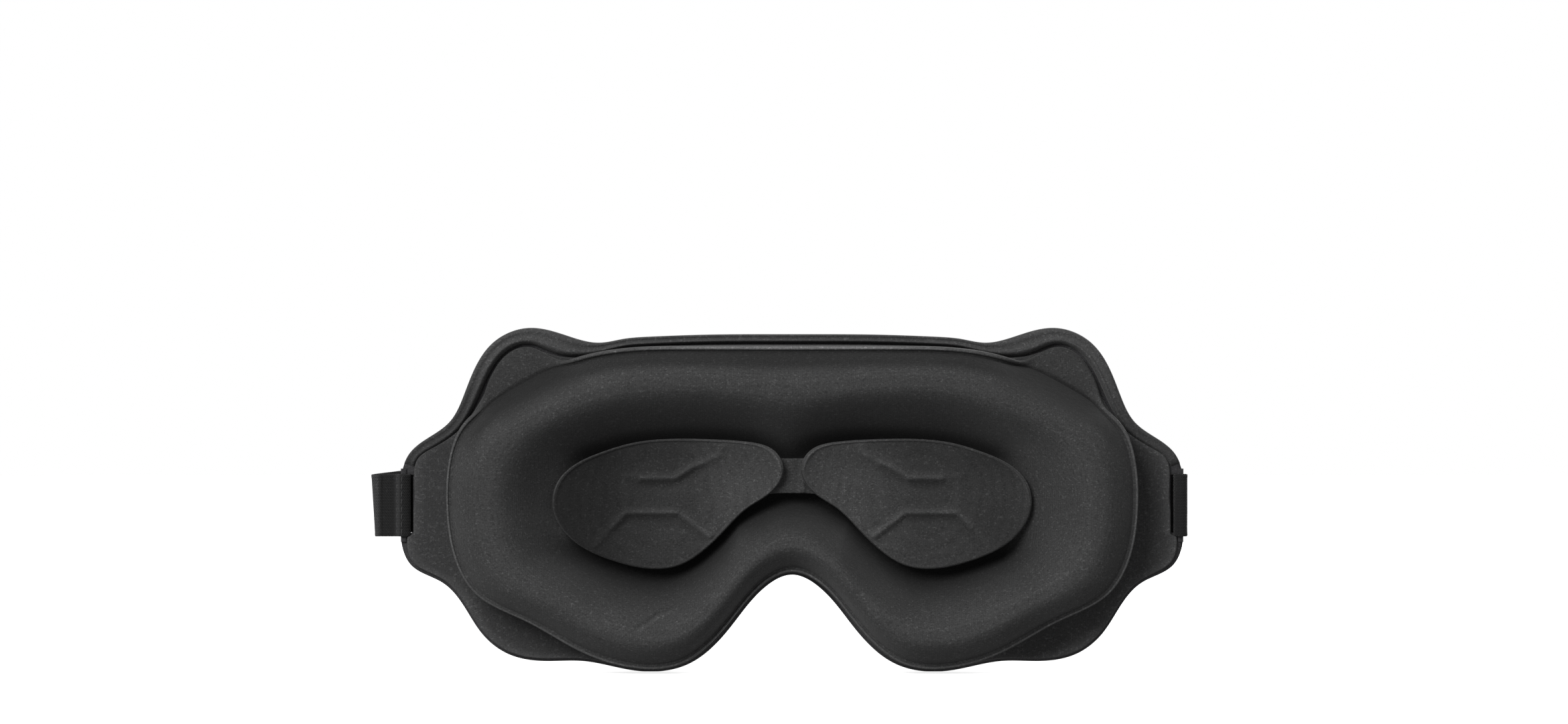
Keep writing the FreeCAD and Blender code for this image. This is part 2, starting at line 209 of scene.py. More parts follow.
def knots_of(points):
    steps = np.linalg.norm(np.roll(points, -1, axis=0) - points, axis=1)
    return np.concatenate([[0.0], np.cumsum(steps)]) / steps.sum()


def closed_spline(values, knots, at):
    """A smooth closed curve through the values, read at parameters from 0 to 1."""
    values = np.atleast_2d(values.T).T
    count = len(values)
    gap = np.diff(knots)
    slope = (np.roll(values, -1, axis=0) - values) / gap[:, None]
    system = np.zeros((count, count))
    for i in range(count):
        system[i, i - 1] += gap[i - 1]
        system[i, i] += 2 * (gap[i - 1] + gap[i])
        system[i, (i + 1) % count] += gap[i]
    bend = np.linalg.solve(system, 6 * (slope - np.roll(slope, 1, axis=0)))
    at = np.mod(at, 1.0)
    i = np.clip(np.searchsorted(knots, at, side="right") - 1, 0, count - 1)
    j = (i + 1) % count
    h = gap[i][:, None]
    u = (at - knots[i])[:, None]
    w = h - u
    curve = (bend[i] * w**3 + bend[j] * u**3) / (6 * h)
    return curve + (values[i] / h - bend[i] * h / 6) * w + (values[j] / h - bend[j] * h / 6) * u


def open_spline(points, count):
    """A smooth line through a few points, as evenly spaced samples."""
    p = np.array(points, float)
    p = np.vstack([2 * p[0] - p[1], p, 2 * p[-1] - p[-2]])
    out = []
    for a, b, c, d in zip(p[:-3], p[1:-2], p[2:-1], p[3:]):
        t = np.linspace(0, 1, 24, endpoint=False)[:, None]
        square, cube = 2 * a - 5 * b + 4 * c - d, 3 * b - a - 3 * c + d
        out.append(0.5 * (2 * b + (c - a) * t + square * t**2 + cube * t**3))
    line = np.vstack(out + [p[-2:-1]])
    run = np.concatenate([[0], np.cumsum(np.linalg.norm(np.diff(line, axis=0), axis=1))])
    at = np.linspace(0, run[-1], count)
    return np.column_stack([np.interp(at, run, line[:, k]) for k in range(line.shape[1])])


def outward(curve):
    """Unit normals of a closed curve that runs clockwise as the wearer's face sees it."""
    along = np.roll(curve, -1, axis=0) - np.roll(curve, 1, axis=0)
    along /= np.linalg.norm(along, axis=1)[:, None]
    return np.column_stack([-along[:, 1], along[:, 0]])


def smooth_step(low, high, value):
    t = np.clip((value - low) / (high - low), 0, 1)
    return t * t * (3 - 2 * t)


def radius_at(curve, angles):
    """Distance from CENTRE to a closed curve in each direction."""
    off = curve - CENTRE
    angle = np.arctan2(off[:, 1], off[:, 0])
    order = np.argsort(angle)
    return np.interp(angles, angle[order], np.linalg.norm(off, axis=1)[order], period=2 * math.pi)


def from_centre(radius, angles):
    return CENTRE + radius[..., None] * np.stack([np.cos(angles), np.sin(angles)], axis=-1)


def ripple(points, size, seed):
    """Smooth random heights from -1 to 1 at plan points, with features of about the given size."""
    return np.array([noise.noise(Vector((x / size, z / size, seed))) for x, z in points])


# ---------------------------------------------------------------- meshes

def make_mesh(name, vertices, faces, material, uv=None, tone=None):
    """A closed piece in the scene. tone lightens or darkens its material from vertex to vertex, as painted
    shade and painted highlights.
    """
    mesh = bpy.data.meshes.new(name)
    mesh.from_pydata((np.asarray(vertices) * MM).tolist(), [], faces)
    shade = np.ones(len(vertices)) if tone is None else np.asarray(tone, float).ravel()
    mesh.attributes.new("tone", "FLOAT", "POINT").data.foreach_set("value", shade)
    if uv is not None:
        layer = mesh.uv_layers.new(name="strap")
        loops = np.zeros(len(mesh.loops), np.int32)
        mesh.loops.foreach_get("vertex_index", loops)
        layer.data.foreach_set("uv", (np.asarray(uv)[loops] * MM).ravel())
    tidy = bmesh.new()
    tidy.from_mesh(mesh)
    bmesh.ops.remove_doubles(tidy, verts=tidy.verts, dist=1e-7)
    bmesh.ops.recalc_face_normals(tidy, faces=tidy.faces)
    tidy.to_mesh(mesh)
    tidy.free()
    mesh.shade_smooth()
    mesh.materials.append(material)
    piece = bpy.data.objects.new(name, mesh)
    bpy.context.scene.collection.objects.link(piece)
    return piece


def grid_faces(rows, columns, around=True, closed=False):
    """Quads of a grid of points, which may close along its rows and from its last row to its first."""
    faces = []
    for i in range(rows if closed else rows - 1):
        a, b = i * columns, ((i + 1) % rows) * columns
        for j in range(columns if around else columns - 1):
            k = (j + 1) % columns
            faces.append((a + j, a + k, b + k, b + j))
    return faces


def capped_grid(rows, columns):
    """Quads of a grid closed along its rows, with a face over its first row and one over its last."""
    last = (rows - 1) * columns
    return grid_faces(rows, columns) + [tuple(range(columns)), tuple(range(last, last + columns))]


def sealed_strip(rows, columns):
    """Quads of a grid closed from its last row to its first, with a face over each open end."""
    ends = [tuple(r * columns + column for r in range(rows)) for column in (0, columns - 1)]
    return grid_faces(rows, columns, around=False, closed=True) + ends


def plan_grid(plan, depth):
    """Vertices from plan points (rows, columns, 2) and depths (rows, columns)."""
    return np.stack([plan[..., 0], depth, plan[..., 1]], axis=-1).reshape(-1, 3)


# ---------------------------------------------------------------- materials

def new_material(name, roughness, sheen):
    material = bpy.data.materials.new(name)
    material.use_nodes = True
    tree = material.node_tree
    shader = tree.nodes["Principled BSDF"]
    shader.inputs["Roughness"].default_value = roughness
    shader.inputs["Sheen Weight"].default_value = sheen
    shader.inputs["Sheen Roughness"].default_value = 0.5
    shader.inputs["Specular IOR Level"].default_value = 0.25
    return material, tree, shader


def node(tree, kind, **settings):
    """A node with its settings and input values, or with another node's output on an input."""
    made = tree.nodes.new(kind)
    for key, value in settings.items():
        if hasattr(value, "is_output"):
            tree.links.new(value, made.inputs[key])
        elif key in made.inputs:
            made.inputs[key].default_value = value
        else:
            setattr(made, key, value)
    return made


def mix_colours(tree, factor, first, second, blend="MIX"):
    mixer = node(tree, "ShaderNodeMix", data_type="RGBA", blend_type=blend)
    for index, value in ((0, factor), (6, first), (7, second)):
        if hasattr(value, "is_output"):
            tree.links.new(value, mixer.inputs[index])
        else:
            mixer.inputs[index].default_value = value
    return mixer.outputs[2]


def toned(tree, colour):
    """The colour multiplied by the mesh's tone, its painted shade and painted highlights."""
    tone = node(tree, "ShaderNodeAttribute", attribute_name="tone")
    return mix_colours(tree, 1.0, colour, tone.outputs["Color"], "MULTIPLY")


def ramp(tree, source, low, high, to_low=0.0, to_high=1.0):
    limits = {"From Min": low, "From Max": high, "To Min": to_low, "To Max": to_high}
    return node(tree, "ShaderNodeMapRange", Value=source, **limits).outputs["Result"]


def vary_roughness(tree, shader, source, low, high):
    tree.links.new(ramp(tree, source, 0.0, 1.0, low, high), shader.inputs["Roughness"])


def bump(tree, height, strength, distance, under=None, invert=False):
    """Relief of the given depth in millimetres, over another one if that is given."""
    made = node(tree, "ShaderNodeBump",
                Height=height, Strength=strength, Distance=distance * MM, invert=invert)
    if under is not None:
        tree.links.new(under, made.inputs["Normal"])
    return made.outputs[0]


def knit_material(name, dark, light, stitch=0.62, depth=0.05, sheen=0.12, roughness=0.88):
    """Matt brushed knit: a fine cell of stitches, a fuzz of pale fibres and a slow drift of tone."""
    material, tree, shader = new_material(name, roughness, sheen)
    place = node(tree, "ShaderNodeTexCoord").outputs["Object"]
    place = node(tree, "ShaderNodeMapping", Vector=place, Scale=(1.0, 1.0, 1.35)).outputs[0]
    cells = node(tree, "ShaderNodeTexVoronoi", Vector=place, Scale=1000 / stitch, Randomness=0.55)
    fuzz = node(tree, "ShaderNodeTexNoise", Vector=place, Scale=1000 / 0.9, Detail=4.0, Roughness=0.7)
    drift = node(tree, "ShaderNodeTexNoise", Vector=place, Scale=1000 / 16.0, Detail=3.0, Roughness=0.55)
    patch = node(tree, "ShaderNodeTexNoise", Vector=place, Scale=1000 / 3.2, Detail=3.0, Roughness=0.6)
    tone = mix_colours(tree, ramp(tree, drift.outputs["Fac"], 0.3, 0.7), (*dark, 1), (*light, 1))
    fleck = tuple(min(1.0, 3.0 * c) for c in light)
    tone = mix_colours(tree, ramp(tree, fuzz.outputs["Fac"], 0.54, 0.86), tone, (*fleck, 1))
    gap = tuple(0.45 * c for c in dark)
    tone = mix_colours(tree, ramp(tree, cells.outputs["Distance"], 0.42, 1.0), tone, (*gap, 1))
    tree.links.new(toned(tree, tone), shader.inputs["Base Color"])
    vary_roughness(tree, shader, patch.outputs["Fac"], roughness - 0.1, roughness + 0.08)
    surface = bump(tree, patch.outputs["Fac"], 0.5, 0.35)
    fibres = bump(tree, fuzz.outputs["Fac"], 0.6, 0.12, under=surface)
    loops = bump(tree, cells.outputs["Distance"], 0.7, depth, under=fibres, invert=True)
    tree.links.new(loops, shader.inputs["Normal"])
    return material


def webbing_material(name, dark, light, rib=0.95, pick=0.55):
    """Ribbed elastic: rubber cords along the band under a crosswise weave."""
    material, tree, shader = new_material(name, 0.72, 0.15)
    place = node(tree, "ShaderNodeUVMap", uv_map="strap").outputs[0]
    split = node(tree, "ShaderNodeSeparateXYZ", Vector=place)

    def wave(source, pitch):
        scaled = node(tree, "ShaderNodeMath", operation="MULTIPLY", Value=source)
        scaled.inputs[1].default_value = 2 * math.pi * 1000 / pitch
        return node(tree, "ShaderNodeMath", operation="SINE", Value=scaled.outputs[0]).outputs[0]

    ribs, picks = wave(split.outputs["Y"], rib), wave(split.outputs["X"], pick)
    weave = node(tree, "ShaderNodeMath", operation="MULTIPLY", Value=ribs)
    tree.links.new(picks, weave.inputs[1])
    both = node(tree, "ShaderNodeMath", operation="MULTIPLY_ADD", Value=ribs)
    both.inputs[1].default_value = 0.45
    tree.links.new(weave.outputs[0], both.inputs[2])
    spot = node(tree, "ShaderNodeTexCoord").outputs["Object"]
    fuzz = node(tree, "ShaderNodeTexNoise", Vector=spot, Scale=1000 / 0.7, Detail=4.0)
    tone = mix_colours(tree, ramp(tree, both.outputs[0], -1.2, 1.3), (*dark, 1), (*light, 1))
    fleck = tuple(2.0 * c for c in light)
    tone = mix_colours(tree, ramp(tree, fuzz.outputs["Fac"], 0.56, 0.85), tone, (*fleck, 1))
    tree.links.new(toned(tree, tone), shader.inputs["Base Color"])
    vary_roughness(tree, shader, fuzz.outputs["Fac"], 0.62, 0.85)
    coarse = bump(tree, both.outputs[0], 0.8, 0.12)
    fine = bump(tree, fuzz.outputs["Fac"], 0.5, 0.08, under=coarse)
    tree.links.new(fine, shader.inputs["Normal"])
    return material


def tape_material(name, dark, light, pitch, depth, roughness):
    """Fastener tape: a dense field of hooks or of looped pile."""
    material, tree, shader = new_material(name, roughness, 0.1)
    place = node(tree, "ShaderNodeTexCoord").outputs["Object"]
    cells = node(tree, "ShaderNodeTexVoronoi", Vector=place, Scale=1000 / pitch, Randomness=0.35)
    fuzz = node(tree, "ShaderNodeTexNoise",
                Vector=place, Scale=1000 / (0.6 * pitch), Detail=5.0, Roughness=0.75)
    tone = mix_colours(tree, ramp(tree, cells.outputs["Distance"], 0.1, 0.8), (*light, 1), (*dark, 1))
    fleck = tuple(1.8 * c for c in light)
    tone = mix_colours(tree, ramp(tree, fuzz.outputs["Fac"], 0.5, 0.9), tone, (*fleck, 1))
    tree.links.new(tone, shader.inputs["Base Color"])
    vary_roughness(tree, shader, fuzz.outputs["Fac"], roughness - 0.15, roughness + 0.1)
    coarse = bump(tree, cells.outputs["Distance"], 1.0, depth, invert=True)
    fine = bump(tree, fuzz.outputs["Fac"], 0.6, 0.4 * depth, under=coarse)
    tree.links.new(fine, shader.inputs["Normal"])
    return material


def thread_material(name, dark, light):
    material, tree, shader = new_material(name, 0.6, 0.2)
    place = node(tree, "ShaderNodeTexCoord").outputs["Object"]
    twist = node(tree, "ShaderNodeTexWave", Vector=place, Scale=1000 / 1.4, Distortion=1.5)
    tone = mix_colours(tree, twist.outputs["Fac"], (*dark, 1), (*light, 1))
    tree.links.new(tone, shader.inputs["Base Color"])
    tree.links.new(bump(tree, twist.outputs["Fac"], 0.6, 0.06), shader.inputs["Normal"])
    return material


OUTER_KNIT = knit_material(
    "outer_knit", (0.044, 0.0432, 0.0455), (0.053, 0.052, 0.0545), stitch=0.55, depth=0.04)
RIM_KNIT = knit_material("rim_knit", (0.070, 0.070, 0.0705), (0.084, 0.084, 0.0845), stitch=0.55)
LINING_KNIT = knit_material("lining_knit", (0.044, 0.044, 0.0445), (0.053, 0.053, 0.0535), stitch=0.6)
CUSHION_KNIT = knit_material("cushion_knit", (0.050, 0.050, 0.0502), (0.060, 0.060, 0.0602))
PLATE_KNIT = knit_material("plate_knit", (0.050, 0.050, 0.0502), (0.063, 0.063, 0.0632), stitch=0.58)
FOAM = knit_material(
    "foam", (0.030, 0.030, 0.0302), (0.038, 0.038, 0.0382), stitch=0.9, depth=0.2, sheen=0.0)
ELASTIC = webbing_material("elastic", (0.0085, 0.0085, 0.0087), (0.0165, 0.0165, 0.0168))
HOOKS = tape_material("hook_tape", (0.008, 0.008, 0.009), (0.030, 0.030, 0.032), 0.9, 0.45, 0.5)
PILE = tape_material("pile_tape", (0.020, 0.0195, 0.021), (0.046, 0.0455, 0.048), 0.6, 0.35, 0.85)
THREAD = thread_material("thread", (0.026, 0.026, 0.0265), (0.058, 0.058, 0.0585))


# ---------------------------------------------------------------- shell

AROUND = 1000
edge_points = whole(OUTLINE)
edge_knots = knots_of(edge_points)
turn = np.arange(AROUND) / AROUND
edge = closed_spline(edge_points, edge_knots, turn)
edge_normal = outward(edge)
rim_width = closed_spline(whole_column(OUTLINE, 2), edge_knots, turn)[:, 0]
lining_inset = closed_spline(whole_column(OUTLINE, 3), edge_knots, turn)[:, 0]
angles = np.unwrap(np.arctan2(*(edge - CENTRE).T[::-1]))


def notch(radius, angle, limit):
    """Keeps a radial outline inside the two wing slots."""
    x = np.abs(radius * np.cos(angle))
    z = CENTRE[1] + radius * np.sin(angle)
    inside = (np.abs(z) < SLOT_SHOWN) & (x > limit)
    return np.where(inside, limit / np.maximum(np.abs(np.cos(angle)), 1e-6), radius)


def build_outer_cover():
    """Closed moulded shell: flat flange with a rounded edge, and the dome outside."""
    dome = whole(DOME_EDGE)
    dome = closed_spline(dome, knots_of(dome), np.linspace(0, 1, 1600, endpoint=False))
    reach = notch(radius_at(edge, angles), angles, SLOT_X)
    foot = np.minimum(radius_at(dome, angles), reach - 1.6)
    crown = foot * DOME_CROWN
    plan, depth = [], []

    def row(radius, y):
        plan.append(from_centre(radius, angles))
        depth.append(np.broadcast_to(y, angles.shape).astype(float))

    middle = (LINING_BACK_Y + SHELL_FLAT_Y) / 2
    half = (LINING_BACK_Y - SHELL_FLAT_Y) / 2
    row(np.full(AROUND, 0.5), LINING_BACK_Y)
    for share in (0.3, 0.6, 0.8, 0.9):
        row(reach * share, LINING_BACK_Y)
    for step in np.linspace(0, math.pi, 13):
        row(reach - half * 1.1 * (1 - math.sin(step)), middle + half * math.cos(step))
    for share in (0.3, 0.6, 0.85):
        start = reach - half * 1.1
        row(start + (foot - start) * share, SHELL_FLAT_Y + 0.06 * math.sin(math.pi * share))
    for share in np.concatenate([np.linspace(0, 0.06, 8), np.linspace(0.075, 1, 44)]):
        radius = foot + (crown - foot) * share
        inward = foot - radius
        shoulder = DOME_SHOULDER * smooth_step(0.0, 2.2, inward)
        rise = (DOME_RISE - DOME_SHOULDER) * (1 - (1 - share) ** 2)
        wave = 0.25 * ripple(from_centre(radius, angles), 26.0, 3.1) * smooth_step(0, 12, inward)
        row(radius, SHELL_FLAT_Y - shoulder - rise + wave)
    last_depth = depth[-1]
    for share in (0.8, 0.6, 0.4, 0.2, 0.02):
        row(crown * share, last_depth * share + (SHELL_FLAT_Y - DOME_RISE) * (1 - share))
    vertices = plan_grid(np.array(plan), np.array(depth))
    faces = capped_grid(len(plan), AROUND)
    rings, sides = 30, 20
    angle = np.linspace(0, 2 * math.pi, sides, endpoint=False)
    section = np.stack([np.cos(angle), np.sin(angle)], axis=-1)
    section = np.sign(section) * np.abs(section) ** 0.7
    for side in (1, -1):
        first = len(vertices)
        bar = [
            (side * (BAR_X + x), BAR_Y + y, z)
            for z in np.linspace(-SLOT_HALF - 1.2, SLOT_HALF + 1.2, rings)
            for x, y in section
        ]
        vertices = np.vstack([vertices, bar])
        faces += [tuple(first + i for i in face) for face in grid_faces(rings, sides)]
    return make_mesh("outer_cover_skin", vertices, faces, OUTER_KNIT)


def build_lining():
    """Knit panel inside the rim, with a soft rounded edge."""
    inner = edge - edge_normal * lining_inset[:, None]
    reach = notch(radius_at(inner, angles), angles, SLOT_X - 0.25)
    plan, depth, tone = [], [], []
    for share in (0.004, 0.25, 0.5, 0.72, 0.8, 0.85, 0.93, 0.97):
        plan.append(from_centre(reach * share, angles))
        drape = 0.12 * ripple(plan[-1], 14.0, 8.4) * smooth_step(0.75, 0.9, share)
        depth.append(LINING_FACE_Y + drape)
        # Painted shade on the lining where it lies under the cushion.
        tone.append(0.3 if share < 0.75 else 1.0)
    half = (LINING_FACE_Y - LINING_BACK_Y) / 2
    for step in np.linspace(0.15, math.pi, 12):
        plan.append(from_centre(reach - 0.9 * (1 - math.sin(step)), angles))
        swell = 0.25 * math.sin(2 * step) ** 2 * (step < 1.6)
        depth.append(np.full(AROUND, LINING_BACK_Y + half + (half + swell) * math.cos(step)))
        # Painted highlight on the lining's rounded edge.
        tone.append(1.45)
    for share in (0.9, 0.5, 0.004):
        plan.append(from_centre(reach * share, angles))
        depth.append(np.full(AROUND, LINING_BACK_Y + 0.01))
        tone.append(1.0)
    vertices = plan_grid(np.array(plan), np.array(depth))
    faces = capped_grid(len(plan), AROUND)
    return make_mesh("lining_panel", vertices, faces, LINING_KNIT, tone=np.repeat(tone, AROUND))


def build_rim(name, keep, height_at):
    """Rolled edge in two layers along the part of the outline that keep marks."""
    at = np.flatnonzero(keep)
    breaks = np.flatnonzero(np.diff(at) > 1)
    if len(breaks):
        at = np.concatenate([at[breaks[0] + 1:], at[:breaks[0] + 1]])
    line, normal, width = edge[at], edge_normal[at], rim_width[at]
    height = height_at[at]
    fade = np.minimum(1, np.minimum(np.arange(len(at)), np.arange(len(at))[::-1]) / 4.0) ** 0.5
    across = np.concatenate([[0.0], (1 - np.cos(np.linspace(0.12, math.pi - 0.05, 30))) / 2, [1.0]])
    plan, depth = [], []
    for share in across:
        first = math.sqrt(max(0, 1 - ((share - 0.27) / 0.30) ** 2))
        second = math.sqrt(max(0, 1 - ((share - 0.74) / 0.26) ** 2))
        between = 0.84 if 0.25 < share < 0.76 else 0.0
        lift = max(0.95 * first, second, between)
        bulge = 0.25 * math.sin(math.pi * min(1.0, share / 0.5))
        plan.append(line - normal * (width * share - bulge * (share < 0.5))[:, None])
        wobble = 0.10 * ripple(plan[-1], 6.0, 2.2)
        depth.append(LINING_BACK_Y - 0.3 + (height + 0.3 + wobble) * lift * fade)
    plan.append(line - normal * (width * 0.5)[:, None])
    depth.append(np.full(len(at), LINING_BACK_Y - 0.35))
    plan, depth = np.array(plan), np.array(depth)
    # Darker where the rim runs down the sides, from |x| 97 to 106.
    tone = 1 - 0.27 * smooth_step(97, 106, np.abs(plan[..., 0]))
    faces = sealed_strip(len(plan), len(at))
    return make_mesh(name, plan_grid(plan, depth), faces, RIM_KNIT, tone=tone)


# ---------------------------------------------------------------- cushion

def skirt_width(outer, normal):
    """How far the cover runs past the cushion's boundary, up to the groove beside the rolled rim."""
    stop = edge - edge_normal * (rim_width + EAR_GROOVE)[:, None]
    low, high = np.zeros(len(outer)), np.full(len(outer), 14.0)

    def inside(distance):
        off = outer + normal * distance[:, None] - CENTRE
        return np.linalg.norm(off, axis=1) < radius_at(stop, np.arctan2(off[:, 1], off[:, 0]))

    for _ in range(30):
        middle = (low + high) / 2
        within = inside(middle)
        low, high = np.where(within, middle, low), np.where(within, high, middle)
    ears = (np.abs(outer[:, 0]) > 58) & (np.abs(outer[:, 0]) < 104) & (outer[:, 1] > 24)
    width = np.where(ears, low, 0.0)
    for _ in range(3):
        width = (np.roll(width, 1) + 2 * width + np.roll(width, -1)) / 4
    return width


def crease_depth(points):
    """Fine wrinkles: a narrow valley with a soft ridge beside it."""
    depth = np.zeros(len(points))
    for start, end, deep in CREASES:
        a, b = np.array(start), np.array(end)
        length = np.linalg.norm(b - a)
        along = (b - a) / length
        across = np.array([-along[1], along[0]])
        if across[1] > 0:
            across = -across
        u = (points - a) @ along / length
        wander = 0.7 * np.sin(u * 5.0) + 0.3 * np.sin(u * 13.0)
        v = (points - a) @ across + wander
        ends = np.clip(1 - np.abs(2 * u - 1) ** 3, 0, 1)
        depth += ends * deep * (0.9 * np.exp(-((v - 1.1) / 0.9) ** 2) - 1.0 * np.exp(-(v / 0.45) ** 2))
    return depth


def blurred(values, reach):
    """A closed row of values averaged over about the given number of samples each way."""
    offsets = np.arange(-3 * reach, 3 * reach + 1)
    weights = np.exp(-0.5 * (offsets / reach) ** 2)
    return sum(w * np.roll(values, k) for w, k in zip(weights / weights.sum(), offsets))


def build_cushion():
    """Ring cushion: an upright wall with a beaded edge, which runs smoothly into the ears."""
    count = 960
    t = np.arange(count) / count
    knots = knots_of(whole(CUSHION_OUTER))
    halves = (CUSHION_OUTER, CUSHION_INNER, CUSHION_FOOT)
    outer, inner, foot = (closed_spline(whole(half), knots, t) for half in halves)
    normal = outward(outer)
    facing_up = smooth_step(0.1, 0.85, normal[:, 1])
    facing_down = smooth_step(0.1, 0.7, -normal[:, 1])
    outer = outer - normal * (WALL_INSET * (1 - facing_up))[:, None]
    span = inner - outer
    reach = np.linalg.norm(span, axis=1)
    span /= reach[:, None]
    skirt = skirt_width(outer, normal)
    ear = blurred(smooth_step(0.2, 4.0, skirt), 4)
    near_ear = np.clip(1.5 * blurred(ear, 12), 0, 1)
    skirt = np.maximum(skirt, 0.75)
    crest = CREST_SHARE * reach
    bead = CUSHION_BEAD_Y + 0.35 * np.sin(t * 2 * math.pi * 3 + 0.4) - BEAD_DROP * near_ear
    roll = 0.38 + 0.22 * facing_up
    floor = LINING_FACE_Y - 0.05
    # Painted shade that the bead casts on the band just inside it, along the top only.
    bead_shade = 1 - 0.56 * facing_up
    sideways = np.clip(1 - facing_up - facing_down, 0, 1)
    at_nose = facing_down * (1 - smooth_step(8, 16, np.abs(outer[:, 0])))
    # Painted highlight on the bead: brightest along the top and at the nose, less where it faces down.
    top_shine = 1.9 - 2.2 * smooth_step(25, 60, np.abs(outer[:, 0]))
    bead_highlight = 1.9 + top_shine * facing_up - 0.3 * facing_down + 0.7 * at_nose
    bead_highlight += 0.25 * ripple(outer, 7.0, 6.6)
    in_middle = 1 - smooth_step(9, 20, np.abs(inner[:, 0]))
    below = np.maximum(smooth_step(4, 14, -inner[:, 1]), in_middle) * (inner[:, 1] < 12)
    profile = []

    def step(*values):
        """Distance inward, depth and tone of a row, first for the upright wall and then for an ear."""
        profile.append([np.broadcast_to(v, (count,)) for v in values])

    seat = bead - 0.2
    for u in np.linspace(0, 1, 9):
        quarter = u * math.pi / 2
        step(-0.30 * math.sin(u * math.pi), floor + (seat - floor) * u, 0.95,
             -skirt + EAR_ROUND * (1 - math.cos(quarter)), floor + (EAR_Y - floor) * math.sin(quarter), 0.82)
    for u in np.linspace(0.1, 1, 11):
        a = math.pi * u
        shine = math.sin(a) ** 0.5 if u < 1 else 0
        step(roll - roll * math.cos(a), seat + 1.2 * roll * math.sin(a),
             bead_shade + (bead_highlight - bead_shade) * shine,
             -(skirt - EAR_ROUND) * (1 - 0.85 * u), EAR_Y - 0.10 * u, 0.92 - 0.08 * u)
    # Painted shade: in an ear the tone sinks into the valley at the cushion's foot and rises again up its
    # slope.
    for u in np.linspace(0.2, 1, 5):
        step(2 * roll + 0.9 * u, seat - 0.15 * facing_up * math.sin(u * math.pi / 2), bead_shade,
             -(skirt - EAR_ROUND) * 0.15 * (1 - u), EAR_Y - 0.1 - 0.25 * u, 0.84 - 0.54 * u)
    low = seat - 0.15 * facing_up
    near = 2 * roll + 0.9
    # Painted shade on the outer slope along the sides, and slightly lighter towards the crest over the lower
    # cavities and the nose.
    for u in np.linspace(0.025, 1, 36):
        d = near + (crest - near) * u
        climb = 0.45 * (0.5 - 0.5 * math.cos(math.pi * u ** 0.92)) + 0.55 * (1 - (1 - u) ** 2.15)
        full = 1.05 - 0.14 * sideways * (1 - u * u) + 0.10 * below * u
        step(d, low * (1 - u) ** 2.15, bead_shade + (full - bead_shade) * smooth_step(5.0, 9.0, d),
             crest * u, (EAR_Y - 0.35) * (1 - climb), 0.26 + 0.78 * smooth_step(3.2, 11.5, crest * u))
    plan, depth, tone = [], [], []
    for values in profile:
        d, y, shade = (w * (1 - ear) + e * ear for w, e in zip(values[:3], values[3:]))
        plan.append(outer + np.maximum(d, 0)[:, None] * span - np.minimum(d, 0)[:, None] * normal)
        depth.append(y)
        tone.append(shade)
    tip = smooth_step(62, 72.5, np.abs(foot[:, 0]))
    bottom = CAVITY_FALL + (TIP_FALL - CAVITY_FALL) * tip
    ridge = outer + crest[:, None] * span
    lead = ridge + span * 0.5 * np.linalg.norm(foot - ridge, axis=1)[:, None]
    # Painted shade down the inner slope and a painted shadow beside each plate's edge, strongest below the
    # cavities and at the nose, weakest at the cavities' outer tips.
    for u in np.linspace(0.022, 1, 56):
        plan.append(ridge * (1 - u) ** 2 + 2 * lead * u * (1 - u) + foot * u**2)
        fall = np.minimum(1, u**1.1 * (1 + 0.14 * below))
        depth.append(-bottom * (0.5 - 0.5 * np.cos(math.pi * fall)))
        from_foot = np.linalg.norm(plan[-1] - foot, axis=1)
        shadow = np.exp(-((np.maximum(from_foot - 2.0 - 2.6 * below, 0) / (5 + 2.0 * below)) ** 2))
        fade = 1.05 + 0.10 * below - (0.08 + 0.04 * below) * smooth_step(0.05, 0.4, u)
        tone.append(fade - (0.84 + 0.02 * below - 0.55 * tip) * shadow)
    # The rows on the lining are in painted shade.
    for line in (foot, outer + 0.8 * span):
        plan.append(line)
        depth.append(np.full(count, floor))
        tone.append(np.full(count, 0.3))
    plan, depth, tone = np.array(plan), np.array(depth), np.array(tone)
    flat_plan = plan.reshape(-1, 2)
    above = np.clip((depth - floor) / -floor, 0, 1) ** 0.7
    crease = crease_depth(flat_plan).reshape(depth.shape)
    soft = 0.45 * ripple(flat_plan, 30.0, 1.7) + 0.14 * ripple(flat_plan, 9.0, 5.2)
    depth = np.minimum(depth + above * (soft.reshape(depth.shape) + crease), 0.0)
    # Painted shade in each crease's valley and a painted highlight on the ridge beside it.
    tone *= 1 + 0.35 * crease
    faces = grid_faces(len(plan), count, closed=True)
    return make_mesh("cushion_cover_skin", plan_grid(plan, depth), faces, CUSHION_KNIT, tone=tone)


# ---------------------------------------------------------------- eye plates

def plate_line(count):
    outline = np.array(PLATE_OUTLINE)
    return closed_spline(outline, knots_of(outline), np.arange(count) / count)


def rib_height(points):
    """Height of the ribs over plan points, with a shallow hollow sunk below each."""
    ridge, hollow = np.zeros(len(points)), np.zeros(len(points))
    for start, end, rise in RIB_LINES:
        a, b = np.array(start), np.array(end)
        for shift, width, into in ((0.0, 1.25, ridge), (2.3, 1.6, hollow)):
            p = points + (0.0, shift)
            u = np.clip((p - a) @ (b - a) / np.sum((b - a) ** 2), 0, 1)
            away = np.linalg.norm(p - a - u[:, None] * (b - a), axis=1)
            np.maximum(into, rise * np.exp(-((away / width) ** 2)), out=into)
    return 1.1 * ridge - 0.45 * hollow


